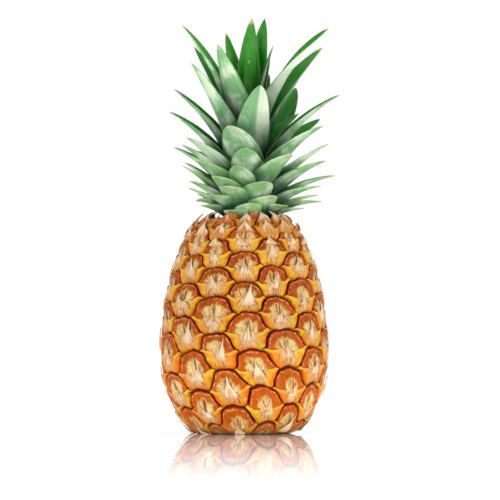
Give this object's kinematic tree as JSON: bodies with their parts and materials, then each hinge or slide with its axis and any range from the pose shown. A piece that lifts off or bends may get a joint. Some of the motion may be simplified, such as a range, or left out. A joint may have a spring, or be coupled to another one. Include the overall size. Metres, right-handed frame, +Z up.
{
  "type": "pineapple",
  "caption": "Whole pineapple with its leafy crown, fruitlets and bract tips in relief, standing on its cut base.",
  "frame": {"origin": "centre of the stalk's cut face, on the surface that the fruit stands on", "axes": "+Z up along the fruit to its crown, -Y towards the side seen from the front, +X to its right"},
  "size_m": [0.1274, 0.1202, 0.2931],
  "materials": {
    "rind": "waxy fruit rind, rust-orange fruitlets over golden papery bracts",
    "cut_stalk": "dry fibrous cut stalk",
    "leaf": "stiff leaf with a pale waxy bloom outside and deep green inside"
  },
  "bodies": {
    "root": {"fruit": "rind", "stalk": "cut_stalk", "crown": "leaf"}
  },
  "joints": []
}
